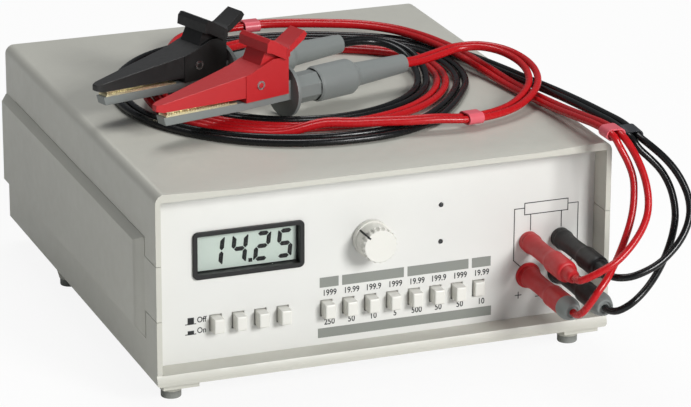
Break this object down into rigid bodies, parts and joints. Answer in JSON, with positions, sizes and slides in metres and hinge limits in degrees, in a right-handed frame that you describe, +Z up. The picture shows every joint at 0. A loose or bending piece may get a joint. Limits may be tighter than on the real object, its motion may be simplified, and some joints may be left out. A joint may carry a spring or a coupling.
{
  "type": "micro ohmmeter",
  "caption": "Bench micro ohmmeter in a light grey plastic case with a digital display, zero knob, push buttons and red and black four-wire test clips on coiled leads",
  "frame": {"origin": "on the standing surface under the rubber feet, below the middle of the case, leads and clips not counted", "axes": "X to the right seen from the front, Y to the back, Z up; the front panel faces -Y"},
  "size_m": [0.246, 0.2937, 0.1454],
  "materials": {
    "case_plastic": "fine grained moulded plastic, warm light grey",
    "panel_paint": "smooth off-white paint",
    "button_plastic": "semi gloss, off-white",
    "black_plastic": "satin",
    "red_plastic": "satin",
    "grey_plastic": "satin",
    "red_silicone": "soft matte lead sheath",
    "black_silicone": "soft matte lead sheath",
    "pale_red_sleeve": "matte",
    "foot_rubber": "matte",
    "gold_plate": "gold plated, bright",
    "plated_steel": "nickel plated",
    "display_glass": "clear",
    "lcd": "grey-green reflective display with dark digits",
    "board": "green solder mask",
    "switch_plastic": "natural",
    "cell_wrap": "wrapped cells"
  },
  "bodies": {
    "instrument": {"bottom_case": "case_plastic", "top_case": "case_plastic", "left_side_panel": "case_plastic", "right_side_panel": "case_plastic", "front_panel": "panel_paint", "rear_panel": "panel_paint", "rubber_feet": "foot_rubber", "screws": "plated_steel", "display_frame": "black_plastic", "display_window": "display_glass", "lcd_module": "lcd", "display_board": "board", "indicator_leds": "black_plastic", "zero_potentiometer": "plated_steel", "function_switch_bank": "switch_plastic", "range_switch_bank": "switch_plastic", "red_sockets": "red_plastic", "black_sockets": "black_plastic", "main_board": "board", "battery_tray": "black_plastic", "battery_cells": "cell_wrap", "charger_socket": "black_plastic", "charger_pin": "plated_steel", "red_plugs": "red_plastic", "black_plugs": "black_plastic", "plug_pins": "gold_plate", "plug_end_rings": "grey_plastic", "red_lead_sleeves": "pale_red_sleeve", "black_lead_sleeve": "black_silicone", "red_sense_coil": "red_silicone", "red_force_coil": "red_silicone", "black_sense_coil": "black_silicone", "black_force_coil": "black_silicone", "red_sense_drop": "red_silicone", "red_force_drop": "red_silicone", "black_sense_drop": "black_silicone", "black_force_drop": "black_silicone", "red_clip_body": "grey_plastic", "black_clip_body": "grey_plastic", "lower_contacts": "gold_plate", "clip_pivots": "plated_steel", "clip_boots": "grey_plastic"},
    "function_button_1": {"function_button_1": "button_plastic"},
    "function_button_2": {"function_button_2": "button_plastic"},
    "function_button_3": {"function_button_3": "button_plastic"},
    "function_button_4": {"function_button_4": "button_plastic"},
    "range_button_1": {"range_button_1": "button_plastic"},
    "range_button_2": {"range_button_2": "button_plastic"},
    "range_button_3": {"range_button_3": "button_plastic"},
    "range_button_4": {"range_button_4": "button_plastic"},
    "range_button_5": {"range_button_5": "button_plastic"},
    "range_button_6": {"range_button_6": "button_plastic"},
    "range_button_7": {"range_button_7": "button_plastic"},
    "range_button_8": {"range_button_8": "button_plastic"},
    "zero_knob": {"zero_knob": "button_plastic", "zero_shaft": "plated_steel"},
    "red_jaw": {"red_clip_jaw": "red_plastic", "red_upper_contact": "gold_plate"},
    "black_jaw": {"black_clip_jaw": "black_plastic", "black_upper_contact": "gold_plate"}
  },
  "joints": [
    {"name": "function_button_1_press", "type": "slide", "parent": "instrument", "child": "function_button_1", "axis": [0, 1, 0], "range_m": [0, 0.0035], "stiffness_N_per_m": 250},
    {"name": "function_button_2_press", "type": "slide", "parent": "instrument", "child": "function_button_2", "axis": [0, 1, 0], "range_m": [0, 0.0035], "stiffness_N_per_m": 250},
    {"name": "function_button_3_press", "type": "slide", "parent": "instrument", "child": "function_button_3", "axis": [0, 1, 0], "range_m": [0, 0.0035], "stiffness_N_per_m": 250},
    {"name": "function_button_4_press", "type": "slide", "parent": "instrument", "child": "function_button_4", "axis": [0, 1, 0], "range_m": [0, 0.0035], "stiffness_N_per_m": 250},
    {"name": "range_button_1_press", "type": "slide", "parent": "instrument", "child": "range_button_1", "axis": [0, 1, 0], "range_m": [0, 0.0035]},
    {"name": "range_button_2_press", "type": "slide", "parent": "instrument", "child": "range_button_2", "axis": [0, 1, 0], "range_m": [0, 0.0035]},
    {"name": "range_button_3_press", "type": "slide", "parent": "instrument", "child": "range_button_3", "axis": [0, 1, 0], "range_m": [0, 0.0035]},
    {"name": "range_button_4_press", "type": "slide", "parent": "instrument", "child": "range_button_4", "axis": [0, 1, 0], "range_m": [0, 0.0035]},
    {"name": "range_button_5_press", "type": "slide", "parent": "instrument", "child": "range_button_5", "axis": [0, 1, 0], "range_m": [0, 0.0035]},
    {"name": "range_button_6_press", "type": "slide", "parent": "instrument", "child": "range_button_6", "axis": [0, 1, 0], "range_m": [0, 0.0035]},
    {"name": "range_button_7_press", "type": "slide", "parent": "instrument", "child": "range_button_7", "axis": [0, 1, 0], "range_m": [0, 0.0035]},
    {"name": "range_button_8_press", "type": "slide", "parent": "instrument", "child": "range_button_8", "axis": [0, 1, 0], "range_m": [-0.0035, 0]},
    {"name": "zero_knob_turn", "type": "hinge", "parent": "instrument", "child": "zero_knob", "pos_m": [-0.0036, -0.108, 0.0659], "axis": [0, 1, 0], "range_deg": [-100, 200]},
    {"name": "red_jaw_open", "type": "hinge", "parent": "instrument", "child": "red_jaw", "pos_m": [-0.03769, -0.04018, 0.1241], "axis": [-0.3024, 0.9532, 0], "range_deg": [0, 15], "stiffness_Nm_per_rad": 0.4},
    {"name": "black_jaw_open", "type": "hinge", "parent": "instrument", "child": "black_jaw", "pos_m": [-0.05443, -0.00062, 0.1241], "axis": [-0.3173, 0.9483, 0], "range_deg": [0, 15], "stiffness_Nm_per_rad": 0.4}
  ]
}
